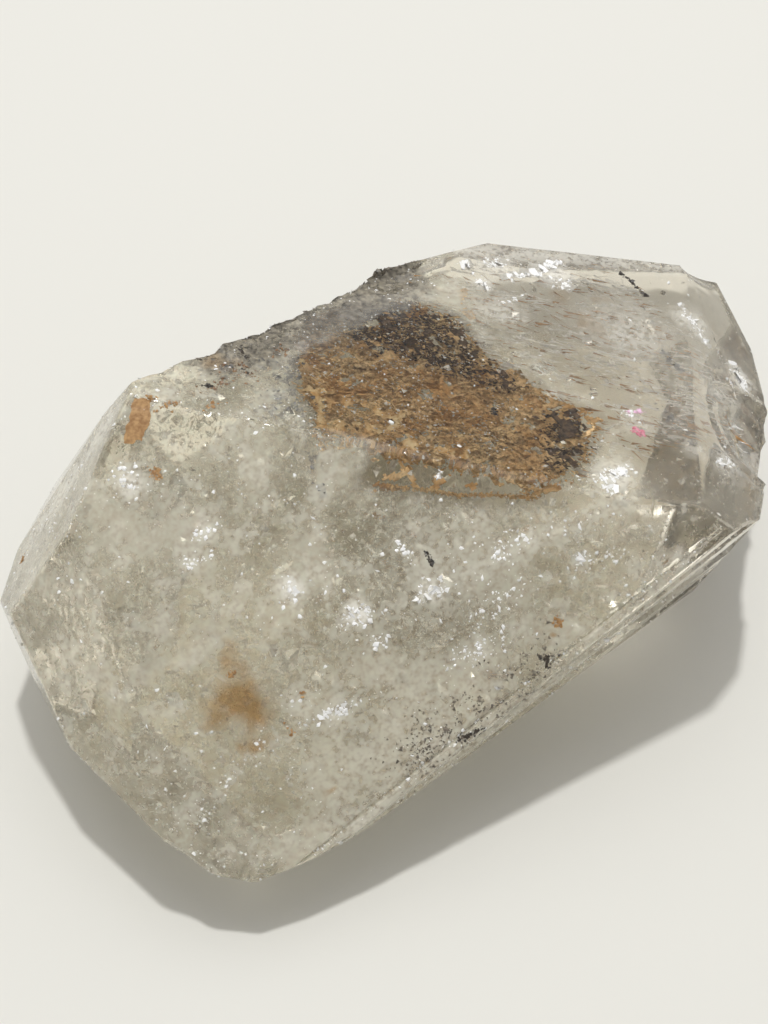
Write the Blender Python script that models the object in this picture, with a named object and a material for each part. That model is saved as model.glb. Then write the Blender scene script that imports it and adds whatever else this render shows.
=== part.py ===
"""Rough quartz crystal with a point at both ends, lying on one of its lower faces.

The crystal grew as one piece, so it is one solid. Its flat faces are planes, each given by
the way it looks and by its distance from a point inside the crystal. The solid that they
enclose is then given what growth and knocks left on it: a rough broken crest at the back,
narrow growth ledges along the front rim, shell-shaped chips and small nicks.

Metres, +Z up, +X along the crystal, -Y towards the front. The origin is in the middle of
the bounding box, on the surface that the crystal rests on.
"""

import math

import bmesh
import bpy
from mathutils import Matrix, Vector, noise

MM = 0.001
NODE_NAME = "crystal"

# Driving dimensions. Face distances are measured from this height above the resting face.
CORE_HEIGHT = 10.0 * MM
BLANK_SIZE = 90.0 * MM
EDGE_CHAMFER = 0.12 * MM
PLANE_TOLERANCE = 1e-7
SLICE_TOLERANCE = 1e-6
JOIN_DISTANCE = 0.02 * MM

# How near to 1 the product of two face directions must be to count as the same face
SAME_FACE = 0.9999
SAME_SIDE = 0.999

# Each face: yaw in degrees (0 looks to the front, 90 to +X), pitch above the horizon, and
# distance from the core in millimetres.
CRYSTAL_FACES = {
    "upper front": (-26, 63, 7.0),
    "window": (108.5, 76, 6.4),
    "right tip top": (69, 53, 12.8),
    "lower front": (-16, 42.5, 8.7),
    "left tip front": (-31, 47, 9.0),
    "left tip side": (-71, 33, 15.3),
    "front rim right": (7, -12, 13.4),
    "front rim left": (-1, -5, 14.5),
    "left tip back": (-128, 33, 15.4),
    "left back shoulder": (-140, 28, 15.2),
    "broken back": (-173, 24, 11.5),
    "back": (176, 16, 12.7),
    "back right": (148, 8, 17.4),
    "right tip": (78, -15, 24.2),
    "right tip front": (60, -18, 21.4),
    "right front corner": (36, -20, 17.4),
    "left front corner": (-42, -25, 20.9),
    "left end low": (-76, -12, 20.9),
    "left end": (-92, 0, 20.4),
    "under right": (70, -45, 19.0),
    "under right front": (40, -48, 15.4),
    "under front right": (11, -48, 12.5),
    "under front": (-4, -48, 14.0),
    "under left front": (-42, -50, 18.6),
    "under left": (-80, -48, 16.9),
    "under left back": (-140, -42, 14.6),
    "under back": (176, -42, 13.0),
    "under back right": (130, -40, 18.8),
}

# Rough broken crest between the window and the broken back face
ROUGH_CELL = 0.70 * MM
ROUGH_DEPTH = 0.60 * MM
ROUGH_REACH = 6.5 * MM
ROUGH_END_X = 8.6 * MM
ROUGH_FADE_X = 2.0 * MM
ROUGH_START_X = -8.6 * MM
LUMP_SIZE = 2.4 * MM
LUMP_LAYERS = 3
GRAIN_SIZE = 1.0 * MM
SUNK_BASE = 0.55
SUNK_BY_LUMPS = 0.75
SUNK_BY_GRAIN = 0.25
SUNK_LIMIT = 1.4
CREST_NOTCH = Vector((9.2 * MM, 10.9 * MM, 13.6 * MM))
NOTCH_RADIUS = 1.1 * MM
NOTCH_DEPTH = 0.6 * MM

# Growth ledges: bands parallel to the rim, by share of the face's width
LEDGE_BANDS = {
    "front rim right": ((0.10, 0.26, 0.22), (0.40, 0.62, 0.30), (0.74, 0.86, 0.18)),
    "front rim left": ((0.25, 0.55, 0.22),),
    "lower front": ((0.035, 0.065, 0.12),),
    "back": ((0.30, 0.42, 0.15), (0.60, 0.80, 0.20)),
}
LEDGE_WALL = 0.10 * MM

# Shell-shaped chips: a point on the surface, the way the chip faces, its radius of
# curvature and its depth
CHIPS = {
    "chip right tip": ((19.6, -6.6, 9.4), (58, 40), 6.0, 0.25),
    "chip right crest": ((25.0, 4.3, 9.5), (110, 50), 4.0, 0.10),
    "chip left corner": ((-18.6, -10.3, 5.8), (-55, -5), 6.0, 0.45),
    "chip front rim": ((-3.3, -14.1, 5.2), (2, -15), 5.0, 0.50),
    "chip rim right": ((8.5, -12.6, 6.0), (10, -25), 4.0, 0.45),
    "chip back": ((3.0, 13.9, 7.2), (178, -5), 6.0, 0.40),
}
CHIP_SUBDIVISIONS = 5


def direction(yaw_degrees, pitch_degrees):
    """Unit vector that looks along a yaw and a pitch."""
    yaw = math.radians(yaw_degrees)
    pitch = math.radians(pitch_degrees)
    level = math.cos(pitch)
    return Vector((math.sin(yaw) * level, -math.cos(yaw) * level, math.sin(pitch)))


def clear_scene():
    """Remove whatever the new scene holds."""
    for old in list(bpy.data.objects):
        bpy.data.objects.remove(old, do_unlink=True)


def quartz_material():
    """Cloudy pale quartz."""
    material = bpy.data.materials.new("cloudy quartz")
    material.use_nodes = True
    shader = material.node_tree.nodes["Principled BSDF"]
    shader.inputs["Base Color"].default_value = (0.43, 0.41, 0.34, 1.0)
    shader.inputs["Roughness"].default_value = 0.12
    shader.inputs["Metallic"].default_value = 0.0
    shader.inputs["IOR"].default_value = 1.544
    return material


def cut_blank():
    """Cut a block down to the solid that all the crystal's faces enclose."""
    blank = bmesh.new()
    bmesh.ops.create_cube(blank, size=BLANK_SIZE)
    core = Vector((0.0, 0.0, CORE_HEIGHT))
    planes = [(core + direction(yaw, pitch) * distance * MM, direction(yaw, pitch))
              for yaw, pitch, distance in CRYSTAL_FACES.values()]
    planes.append((Vector(), Vector((0.0, 0.0, -1.0))))
    for point, normal in planes:
        everything = blank.verts[:] + blank.edges[:] + blank.faces[:]
        cut = bmesh.ops.bisect_plane(blank, geom=everything, dist=PLANE_TOLERANCE,
                                     plane_co=point, plane_no=normal, clear_outer=True)
        rim = [item for item in cut["geom_cut"] if isinstance(item, bmesh.types.BMEdge)]
        if rim:
            bmesh.ops.edgeloop_fill(blank, edges=rim)
    bmesh.ops.remove_doubles(blank, verts=blank.verts[:], dist=JOIN_DISTANCE)
    bmesh.ops.recalc_face_normals(blank, faces=blank.faces[:])
    return blank


def find_face(solid, name):
    """The largest face that looks along a named crystal face's direction."""
    yaw, pitch, _ = CRYSTAL_FACES[name]
    looks = direction(yaw, pitch)
    alike = [face for face in solid.faces if face.normal.dot(looks) > SAME_FACE]
    return max(alike, key=lambda face: face.calc_area())


def shared_edge(first, second):
    """The edge where two faces meet."""
    return next(edge for edge in first.edges if edge in second.edges[:])


def chamfer_edges(solid, kept_sharp):
    """Take the knife edge off every corner except the one that breaks up later."""
    edges = [edge for edge in solid.edges if edge is not kept_sharp]
    bmesh.ops.bevel(solid, geom=edges, offset=EDGE_CHAMFER, offset_type="OFFSET",
                    segments=1, profile=0.5, affect="EDGES", clamp_overlap=True)


def slice_faces(solid, faces, normal, offsets):
    """Cut only these faces, square to normal, at each offset, and return their pieces."""
    pieces = list(faces)
    for offset in offsets:
        geometry = set(pieces)
        for face in pieces:
            geometry.update(face.edges)
            geometry.update(face.verts)
        cut = bmesh.ops.bisect_plane(solid, geom=list(geometry), dist=SLICE_TOLERANCE,
                                     plane_co=normal * offset, plane_no=normal)
        pieces = [item for item in cut["geom"] if isinstance(item, bmesh.types.BMFace)]
    return pieces


def steps_between(points, normal, step):
    """Offsets along normal, a step apart, that cover the points."""
    reach = [point.dot(normal) for point in points]
    count = int((max(reach) - min(reach)) / step)
    return [min(reach) + step * (index + 0.5) for index in range(count + 1)]


def add_ledges(solid, name, bands):
    """Sink bands of a face that run along its longest edge."""
    face = find_face(solid, name)
    longest = max(face.edges, key=lambda edge: edge.calc_length())
    along = (longest.verts[1].co - longest.verts[0].co).normalized()
    across = face.normal.cross(along).normalized()
    middle = (longest.verts[0].co + longest.verts[1].co) / 2.0
    if (face.calc_center_median() - middle).dot(across) < 0.0:
        across = -across
    start = middle.dot(across)
    width = max(vert.co.dot(across) for vert in face.verts) - start
    levels = sorted({share for band in bands for share in band[:2]})
    pieces = slice_faces(solid, [face], across, [start + width * share for share in levels])
    for low, high, depth in bands:
        band_pieces = [piece for piece in pieces if piece.is_valid
                       and low < (piece.calc_center_median().dot(across) - start) / width < high]
        bmesh.ops.inset_individual(solid, faces=band_pieces, thickness=LEDGE_WALL,
                                   depth=-depth * MM, use_even_offset=True)


def ease(value):
    """Smooth step from 0 to 1."""
    value = min(max(value, 0.0), 1.0)
    return value * value * (3.0 - 2.0 * value)


def rough_strength(point, crest_start, crest_along):
    """1 on the broken crest, fading to 0 at its ends and a little way down its faces."""
    from_crest = point - crest_start
    away = (from_crest - crest_along * from_crest.dot(crest_along)).length
    sideways = ease(1.0 - away / ROUGH_REACH)
    right_end = ease((ROUGH_END_X - point.x) / ROUGH_FADE_X + 0.5)
    left_end = ease((point.x - ROUGH_START_X) / ROUGH_FADE_X + 0.5)
    return sideways * right_end * left_end


def break_crest(solid, crest, faces):
    """Grid the two faces that meet at the crest, and sink their points in lumps."""
    start = crest.verts[0].co.copy()
    along = (crest.verts[1].co - start).normalized()
    corners = [vert.co.copy() for face in faces for vert in face.verts]
    pieces = slice_faces(solid, faces, along, steps_between(corners, along, ROUGH_CELL))
    looks = [face.normal.copy() for face in faces if face.is_valid]
    inner_points = set()
    for look in looks:
        side = [piece for piece in pieces if piece.normal.dot(look) > SAME_SIDE]
        across = look.cross(along).normalized()
        edge_points = [vert.co.copy() for piece in side for vert in piece.verts
                       if (vert.co - start).cross(along).length < ROUGH_REACH]
        cells = slice_faces(solid, side, across, steps_between(edge_points, across, ROUGH_CELL))
        for cell in cells:
            inner_points.update(cell.verts)
    inwards = -(looks[0] + looks[-1]).normalized()
    for vert in inner_points:
        if not vert.is_valid:
            continue
        strength = rough_strength(vert.co, start, along)
        lumps = noise.fractal(vert.co / LUMP_SIZE, 1.0, 2.0, LUMP_LAYERS)
        grain = noise.noise(vert.co / GRAIN_SIZE)
        share = SUNK_BASE + SUNK_BY_LUMPS * lumps + SUNK_BY_GRAIN * grain
        sunk = ROUGH_DEPTH * strength * min(max(share, 0.0), SUNK_LIMIT)
        gap = (vert.co - CREST_NOTCH).length
        sunk += NOTCH_DEPTH * ease(1.0 - gap / NOTCH_RADIUS)
        vert.co += inwards * sunk


def chip_cutter(name, place, looks, radius, depth):
    """Ball that takes a shell-shaped chip off the surface."""
    normal = direction(*looks)
    centre = Vector(place) * MM + normal * (radius - depth) * MM
    ball = bmesh.new()
    bmesh.ops.create_icosphere(ball, subdivisions=CHIP_SUBDIVISIONS, radius=radius * MM,
                               matrix=Matrix.Translation(centre))
    mesh = bpy.data.meshes.new(name)
    ball.to_mesh(mesh)
    ball.free()
    cutter = bpy.data.objects.new(name, mesh)
    cutter.hide_render = True
    cutter.display_type = "WIRE"
    bpy.context.scene.collection.objects.link(cutter)
    return cutter


def centre_on_base(solid):
    """Shift that puts the middle of the solid's box over the origin, its lowest point at 0."""
    lows = [min(vert.co[axis] for vert in solid.verts) for axis in range(3)]
    highs = [max(vert.co[axis] for vert in solid.verts) for axis in range(3)]
    return Vector((-(lows[0] + highs[0]) / 2.0, -(lows[1] + highs[1]) / 2.0, -lows[2]))


def build_crystal():
    """The crystal, with its chips as cuts that stay on the object."""
    solid = cut_blank()
    window = find_face(solid, "window")
    broken = find_face(solid, "broken back")
    chamfer_edges(solid, shared_edge(window, broken))
    for name, bands in LEDGE_BANDS.items():
        add_ledges(solid, name, bands)
    window = find_face(solid, "window")
    broken = find_face(solid, "broken back")
    break_crest(solid, shared_edge(window, broken), [window, broken])
    bmesh.ops.triangulate(solid, faces=solid.faces[:])
    bmesh.ops.recalc_face_normals(solid, faces=solid.faces[:])
    shift = centre_on_base(solid)
    mesh = bpy.data.meshes.new(NODE_NAME)
    solid.to_mesh(mesh)
    solid.free()
    mesh.transform(Matrix.Translation(shift))
    mesh.materials.append(quartz_material())
    crystal = bpy.data.objects.new(NODE_NAME, mesh)
    bpy.context.scene.collection.objects.link(crystal)
    for name, (place, looks, radius, depth) in CHIPS.items():
        cutter = chip_cutter(name, place, looks, radius, depth)
        cutter.data.transform(Matrix.Translation(shift))
        cut = crystal.modifiers.new(name, "BOOLEAN")
        cut.operation = "DIFFERENCE"
        cut.solver = "EXACT"
        cut.object = cutter
    return crystal


def main():
    clear_scene()
    build_crystal()


main()
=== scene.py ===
"""Cloudy quartz crystal with a point at both ends, a clear right end and an iron-stained window.

Run as a script, it loads the fixed frame, models the crystal over its solid, fills it with the
veils, cracks, stains and grains that it grew around, and sets up the floor, lights and camera.
Lengths are in metres. +X runs from the cloudy end to the clear end, -Y to the front, +Z up.
"""

import math

import bmesh
import bpy
import numpy as np
from mathutils import Matrix, Vector, noise


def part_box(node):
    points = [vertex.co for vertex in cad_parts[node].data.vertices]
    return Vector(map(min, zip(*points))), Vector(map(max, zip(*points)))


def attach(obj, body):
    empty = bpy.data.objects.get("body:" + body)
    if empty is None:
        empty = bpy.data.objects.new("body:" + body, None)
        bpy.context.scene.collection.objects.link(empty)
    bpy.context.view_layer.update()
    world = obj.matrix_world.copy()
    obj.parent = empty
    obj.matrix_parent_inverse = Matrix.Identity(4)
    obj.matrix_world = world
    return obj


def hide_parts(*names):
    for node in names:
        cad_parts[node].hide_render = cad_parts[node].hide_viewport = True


bl_info = {
    "name": "Rough quartz crystal",
    "version": (1, 0, 0),
    "blender": (4, 5, 0),
    "location": "View3D > Sidebar > Crystal",
    "description": "Models a cloudy, iron-stained quartz crystal and its studio",
    "category": "Add Mesh",
}

MM = 0.001
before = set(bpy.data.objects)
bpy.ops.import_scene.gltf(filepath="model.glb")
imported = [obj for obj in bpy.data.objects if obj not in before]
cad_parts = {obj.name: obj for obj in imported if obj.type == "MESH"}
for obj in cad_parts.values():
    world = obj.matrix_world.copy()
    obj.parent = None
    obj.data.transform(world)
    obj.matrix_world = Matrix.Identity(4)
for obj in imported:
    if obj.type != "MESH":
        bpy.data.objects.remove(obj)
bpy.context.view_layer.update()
CAD_NODE = "crystal"
SEED = 20


class BodySettings(bpy.types.PropertyGroup):
    """Sizes and colours of the quartz."""

    mesh_edge: bpy.props.FloatProperty(
        name="Mesh edge", description="Longest edge of the crystal's surface mesh",
        default=0.40 * MM, unit="LENGTH")
    crest_relief: bpy.props.FloatProperty(
        name="Crest relief", description="Height of the small lumps on the broken crest",
        default=0.15 * MM, unit="LENGTH")
    rim_relief: bpy.props.FloatProperty(
        name="Rim relief", description="Height of the growth lines along the front rim",
        default=0.16 * MM, unit="LENGTH")
    haze_colour: bpy.props.FloatVectorProperty(
        name="Haze colour", description="Colour of the milky part of the quartz",
        default=(1.0, 0.912, 0.755), subtype="COLOR", min=0.0, max=1.0)
    crest_colour: bpy.props.FloatVectorProperty(
        name="Crest colour", description="Colour of the grey broken crest",
        default=(0.30, 0.27, 0.215), subtype="COLOR", min=0.0, max=1.0)
    rust_colour: bpy.props.FloatVectorProperty(
        name="Rust colour", description="Colour of the iron stains near the surface",
        default=(0.62, 0.36, 0.14), subtype="COLOR", min=0.0, max=1.0)
    haze_transmission: bpy.props.FloatProperty(
        name="Haze transmission", description="Light that the milky part still lets through",
        default=0.74, subtype="FACTOR", min=0.0, max=1.0)
    tint_colour: bpy.props.FloatVectorProperty(
        name="Tint", description="Tint that thick clear quartz takes",
        default=(0.89, 0.828, 0.705), subtype="COLOR", min=0.0, max=1.0)
    tint_density: bpy.props.FloatProperty(
        name="Tint density", description="How fast the tint builds up with depth", default=15.0)


class InclusionSettings(bpy.types.PropertyGroup):
    """What the crystal grew around."""

    flake_count: bpy.props.IntProperty(
        name="Flakes", description="Fine white flakes in the cloudy body", default=28000)
    flake_size: bpy.props.FloatProperty(
        name="Flake size", description="Usual width of a flake", default=0.17 * MM, unit="LENGTH")
    veil_count: bpy.props.IntProperty(
        name="Veils", description="Curved veils of bubbles", default=44)
    plate_count: bpy.props.IntProperty(
        name="Crack plates", description="Larger bright crack walls", default=900)
    # Sparkles are painted glints: white matt chips, not reflections
    sparkle_count: bpy.props.IntProperty(
        name="Sparkles", description="Small bright chips at the surface", default=9000)
    grain_count: bpy.props.IntProperty(
        name="Rust grains", description="Grains of iron oxide in the stained patch", default=9000)


class StageSettings(bpy.types.PropertyGroup):
    """Floor, lights and camera."""

    floor_colour: bpy.props.FloatVectorProperty(
        name="Floor colour", description="Colour of the pale floor",
        default=(0.78, 0.77, 0.72), subtype="COLOR", min=0.0, max=1.0)
    sky_strength: bpy.props.FloatProperty(
        name="Room light", description="Strength of the even light of the room", default=0.44)
    key_power: bpy.props.FloatProperty(
        name="Key power", description="Power of the main light behind the crystal", default=1.15)
    fill_power: bpy.props.FloatProperty(
        name="Fill power", description="Power of the wide soft light above", default=1.6)


# Places on the crystal that its marks are measured from
CREST = (Vector((-7.0, 9.1, 17.0)) * MM, Vector((3.5, 11.4, 14.2)) * MM)
WINDOW_RIDGE = (Vector((-13.7, 6.8, 18.6)) * MM, Vector((5.6, -9.8, 15.4)) * MM)
LOWER_RIDGE = (Vector((-10.2, -7.7, 12.8)) * MM, Vector((5.6, -9.8, 15.4)) * MM)
BACK_EDGE = (Vector((9.6, 11.2, 12.7)) * MM, Vector((21.0, 5.4, 10.4)) * MM)
LEFT_BACK_FACE = (Vector((-15.2, 7.2, 16.9)) * MM, Vector((-20.6, 7.4, 10.6)) * MM)
FRONT_RIM = (Vector((-12.5, -14.1, 4.8)) * MM, Vector((10.8, -12.4, 9.5)) * MM)
RING_WIDTH = 1.1 * MM
RING_DEPTH = 0.09 * MM
RIGHT_CHIP = Vector((16.9, -7.2, 9.6)) * MM
STREAK_WAY = (WINDOW_RIDGE[1] - WINDOW_RIDGE[0]).normalized()
CLEAR_FROM_X = 5.5 * MM
CLEAR_BY_X = 10.0 * MM

# Iron-stained crack under the window, its outlines seen from above in millimetres
STAIN_TILT = Vector((0.114, 0.113, 0.987)).normalized()
STAIN_LEVEL = STAIN_TILT.dot(Vector((-4.9, -2.6, 15.4))) * MM
STAIN_OUTLINE = (
    (-1.9, 10.0), (0.7, 9.6), (3.5, 9.0), (4.6, 7.5), (5.4, 6.0), (5.2, 4.6), (5.3, 2.7), (6.2, 0.0),
    (6.8, -2.1), (8.2, -3.7), (7.7, -4.5), (6.4, -5.7), (4.6, -6.9), (3.1, -7.3), (1.8, -7.4),
    (1.1, -5.4), (-0.3, -4.1), (-1.8, -2.7), (-2.9, -1.8), (-4.3, -0.1), (-6.1, 1.2), (-5.6, 1.8),
    (-5.3, 4.1), (-4.5, 5.7), (-3.3, 8.2))
DARK_OUTLINE = (
    (0.4, 9.2), (3.5, 8.8), (4.5, 7.3), (5.2, 5.8), (5.0, 4.0), (5.3, 1.4), (5.9, -0.4), (4.4, 0.0),
    (2.7, 2.0), (1.7, 3.9), (0.2, 5.4), (-0.6, 7.0))
END_OUTLINE = (
    (5.7, -2.4), (7.3, -2.8), (7.6, -4.0), (6.4, -5.5), (4.7, -6.7), (3.7, -6.5), (3.4, -5.6), (4.2, -4.1))
OCHRE_OUTLINE = (
    (-6.0, 1.4), (-5.4, 4.1), (-4.6, 5.7), (-3.4, 8.2), (-2.0, 8.4), (-2.7, 4.9), (-2.4, 2.4),
    (-0.8, 0.6), (0.6, -2.0), (0.4, -4.0), (-1.8, -2.7), (-4.3, -0.1))
ORANGE_OUTLINE = ((7.1, 8.5), (7.6, 8.0), (7.3, 6.8), (5.8, 4.9), (5.6, 5.6), (6.0, 6.9))
DRIP_OUTLINE = (
    (-5.2, -2.4), (-2.9, -1.8), (-1.8, -2.7), (-0.3, -4.1), (1.1, -5.4), (1.8, -7.5), (-1.6, -5.4))
LOWER_LINE = (
    (-4.9, -2.6), (-4.0, -3.4), (-2.7, -4.3), (-1.6, -5.3), (0.0, -6.2), (1.1, -6.9), (1.8, -7.4))


# Helpers

def deselect_all():
    """Leave nothing selected, so the next operator acts only on what it is given."""
    if bpy.context.object and bpy.context.object.mode != "OBJECT":
        bpy.ops.object.mode_set(mode="OBJECT")
    bpy.ops.object.select_all(action="DESELECT")


def make_active(piece):
    """Select one object alone."""
    deselect_all()
    piece.select_set(True)
    bpy.context.view_layer.objects.active = piece


def select_where(test, kind="edges"):
    """In edit mode, select just the edges, faces or points for which test is true."""
    edited = bmesh.from_edit_mesh(bpy.context.object.data)
    for group in (edited.verts, edited.edges, edited.faces):
        for item in group:
            item.select = False
    found = [item for item in getattr(edited, kind) if test(item)]
    for item in found:
        item.select_set(True)
    bmesh.update_edit_mesh(bpy.context.object.data)
    return len(found)


def finish_piece(piece, material):
    """Give a piece its material and its body."""
    piece.data.materials.clear()
    piece.data.materials.append(material)
    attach(piece, "root")
    return piece


def points_of(piece):
    """A mesh's points as rows."""
    rows = np.empty(len(piece.data.vertices) * 3)
    piece.data.vertices.foreach_get("co", rows)
    return rows.reshape(-1, 3)


def normals_of(piece):
    """The surface's directions at a mesh's points, as rows."""
    rows = np.empty(len(piece.data.vertices) * 3)
    piece.data.vertices.foreach_get("normal", rows)
    return rows.reshape(-1, 3)


def unit_rows(rows):
    """Each row at length 1."""
    return rows / np.linalg.norm(rows, axis=1)[:, None]


def ease(values):
    """Smooth step from 0 to 1."""
    values = np.clip(values, 0.0, 1.0)
    return values * values * (3.0 - 2.0 * values)


def line_gap(points, line):
    """Distance of each point from a straight stretch between two places."""
    start, end = (np.array(place) for place in line)
    way = end - start
    share = np.clip(((points - start) @ way) / (way @ way), 0.0, 1.0)
    return np.linalg.norm(points - start - share[:, None] * way, axis=1)


def near_line(points, line, reach):
    """1 on a line, fading to 0 at its reach."""
    return ease(1.0 - line_gap(points, line) / reach)


def near_place(points, place, reach):
    """1 at a place, fading to 0 at its reach."""
    return ease(1.0 - np.linalg.norm(points - np.array(place), axis=1) / reach)


def outline_depth(points, outline):
    """How far each point lies inside an outline seen from above, negative outside."""
    flat = points[:, :2]
    corners = np.array(outline) * MM
    gaps = np.full(len(points), np.inf)
    inside = np.zeros(len(points), dtype=bool)
    for first, second in zip(corners, np.roll(corners, -1, axis=0)):
        way = second - first
        share = np.clip(((flat - first) @ way) / (way @ way), 0.0, 1.0)
        gaps = np.minimum(gaps, np.linalg.norm(flat - first - share[:, None] * way, axis=1))
        spans = (first[1] > flat[:, 1]) != (second[1] > flat[:, 1])
        slope = way[0] / (way[1] or 1.0)
        inside ^= spans & (flat[:, 0] < first[0] + slope * (flat[:, 1] - first[1]))
    return np.where(inside, gaps, -gaps)


def stain_height(x, y):
    """Height of the stained crack above the floor, at a place seen from above."""
    return (STAIN_LEVEL - STAIN_TILT.x * x - STAIN_TILT.y * y) / STAIN_TILT.z


def over_stain(points, margin):
    """1 for points above the stained crack, fading to 0 at a margin outside its outline."""
    depth = np.maximum(outline_depth(points, STAIN_OUTLINE), outline_depth(points, DRIP_OUTLINE))
    above = points[:, 2] > stain_height(points[:, 0], points[:, 1]) - 0.5 * MM
    return ease(1.0 + depth / margin) * above


def clouds(points, size, octaves=3, shift=0.0):
    """Fractal noise at each point, about -1 to 1, with lumps about size wide."""
    offset = Vector((shift, shift * 1.7, -shift))
    return np.array([noise.fractal(Vector(point) / size + offset, 1.0, 2.0, octaves)
                     for point in points])


class Recipe:
    """Short way to add and join shader nodes."""

    def __init__(self, name):
        self.material = bpy.data.materials.new(name)
        self.material.use_nodes = True
        self.tree = self.material.node_tree
        self.shader = self.tree.nodes["Principled BSDF"]
        self.output = self.tree.nodes["Material Output"]
        self.place = self.add("ShaderNodeTexCoord").outputs["Object"]

    def add(self, kind, inputs=None, **settings):
        """Add a node, set it, and join or fill its inputs."""
        node = self.tree.nodes.new(kind)
        for name, value in settings.items():
            setattr(node, name, value)
        for socket, value in (inputs or {}).items():
            self.fill(node.inputs[socket], value)
        return node

    def fill(self, socket, value):
        """Join a socket to another one, or set its value."""
        if isinstance(value, bpy.types.NodeSocket):
            self.tree.links.new(value, socket)
        elif socket.type == "RGBA" and len(value) == 3:
            socket.default_value = (*value, 1.0)
        else:
            socket.default_value = value

    def noise(self, size, detail=2.0, rough=0.55):
        """Cloudy noise whose lumps are about size wide."""
        return self.add("ShaderNodeTexNoise", {
            "Vector": self.place, "Scale": 1.0 / size, "Detail": detail,
            "Roughness": rough}).outputs["Fac"]

    def painted(self, name):
        """Values painted on the mesh's points."""
        return self.add("ShaderNodeAttribute", attribute_name=name).outputs["Fac"]

    def math(self, operation, first, second):
        """One sum on two values."""
        return self.add("ShaderNodeMath", {0: first, 1: second}, operation=operation).outputs[0]

    def blend(self, factor, first, second):
        """Mix two values."""
        return self.add("ShaderNodeMix", {0: factor, 2: first, 3: second}).outputs[0]

    def ramp(self, value, low, high, to_low=0.0, to_high=1.0):
        """Straight step of a value from one range to another."""
        return self.add("ShaderNodeMapRange", {
            "Value": value, "From Min": low, "From Max": high, "To Min": to_low,
            "To Max": to_high}).outputs["Result"]

    def mix(self, factor, first, second):
        """Mix two colours."""
        node = self.add("ShaderNodeMix", data_type="RGBA")
        for socket, value in zip((0, 6, 7), (factor, first, second)):
            self.fill(node.inputs[socket], value)
        return node.outputs[2]

    def set(self, **values):
        """Join or fill the shader's own sockets."""
        for name, value in values.items():
            socket = name.replace("_", " ").title().replace("Ior", "IOR")
            self.fill(self.shader.inputs[socket], value)

    def bump(self, height, strength, distance):
        """Bump from a height value."""
        return self.add("ShaderNodeBump", {
            "Height": height, "Strength": strength, "Distance": distance}).outputs["Normal"]


# Shape of the solid, read from the frame

def merged_solid(name):
    """Copy of the solid with its loose triangles joined and its flat faces whole."""
    piece = bpy.data.objects.new(name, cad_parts[CAD_NODE].data.copy())
    bpy.context.scene.collection.objects.link(piece)
    make_active(piece)
    bpy.ops.object.mode_set(mode="EDIT")
    bpy.ops.mesh.select_all(action="SELECT")
    bpy.ops.mesh.remove_doubles(threshold=0.001 * MM)
    bpy.ops.mesh.select_all(action="SELECT")
    bpy.ops.mesh.dissolve_limited(angle_limit=math.radians(0.4))
    bpy.ops.object.mode_set(mode="OBJECT")
    return piece


def flat_faces(least_area=6.0 * MM * MM):
    """Planes that touch the crystal from outside along its large faces: normals and offsets."""
    copy = merged_solid("faces")
    normals = np.array([face.normal for face in copy.data.polygons if face.area > least_area])
    offsets = (points_of(copy) @ normals.T).max(axis=0)
    bpy.data.objects.remove(copy, do_unlink=True)
    return normals, offsets


PLANES = flat_faces()


def depths(points):
    """How deep each point lies below the nearest face, negative outside."""
    normals, offsets = PLANES
    return (offsets - points @ normals.T).min(axis=1)


def scatter(rng, count, margin):
    """Random points inside the crystal, at least margin deep."""
    low, high = (np.array(corner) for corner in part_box(CAD_NODE))
    points = rng.uniform(low, high, (count * 3, 3))
    return points[depths(points) > margin][:count]


def cloudiness(points):
    """Share of the quartz that is milky at each point: 1 to the left, near 0 at the clear end."""
    wander = 1.6 * MM * np.sin(points[:, 1] / (2.1 * MM)) * np.cos(points[:, 2] / (2.7 * MM))
    return 1.0 - ease((points[:, 0] + wander - CLEAR_FROM_X) / (CLEAR_BY_X - CLEAR_FROM_X))


# Crystal

FIRST_SPAN = 16.0 * MM
SPAN_STEP = 1.8
CREST_REACH = 6.5 * MM
GREY_REACH = 4.4 * MM
RIM_REACH = 4.0 * MM
RIDGE_REACH = 0.9 * MM
NICK_RELIEF = 0.22 * MM
SWELL_RELIEF = 0.05 * MM
CHIP_RADIUS = 3.0 * MM
CHIP_FADE = 2.4 * MM
CHIP_FROM_X = 11.0 * MM
FRAY = 0.7 * MM
SMOOTH_ANGLE = math.radians(14.0)


def refine(longest):
    """In edit mode, split long edges until none is longer than longest."""
    span = FIRST_SPAN
    while True:
        span = max(span, longest)
        bpy.ops.mesh.select_all(action="SELECT")
        bpy.ops.mesh.quads_convert_to_tris(quad_method="BEAUTY", ngon_method="BEAUTY")
        bpy.ops.mesh.select_all(action="SELECT")
        bpy.ops.mesh.beautify_fill(angle_limit=math.radians(1.0))
        if not select_where(lambda edge: edge.calc_length() > span):
            if span == longest:
                return
            span /= SPAN_STEP
            continue
        bpy.ops.mesh.subdivide(number_cuts=1, ngon=False)


def displace(piece, name, kind, size, relief, weights, guide=None, middle=0.5):
    """Raise and sink a piece's points by a texture, as strongly as their weights say."""
    texture = bpy.data.textures.new(name, kind)
    texture.noise_scale = size
    if kind == "CLOUDS":
        texture.noise_depth = 3
    group = piece.vertex_groups.new(name=name)
    for index, weight in enumerate(np.round(weights, 3)):
        if weight > 0.0:
            group.add([index], weight, "REPLACE")
    modifier = piece.modifiers.new(name, "DISPLACE")
    modifier.texture = texture
    modifier.vertex_group = name
    modifier.strength = relief
    modifier.mid_level = middle
    modifier.texture_coords = "OBJECT" if guide else "LOCAL"
    if guide:
        modifier.texture_coords_object = guide
    make_active(piece)
    bpy.ops.object.modifier_apply(modifier=name)
    piece.vertex_groups.remove(piece.vertex_groups[name])


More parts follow.
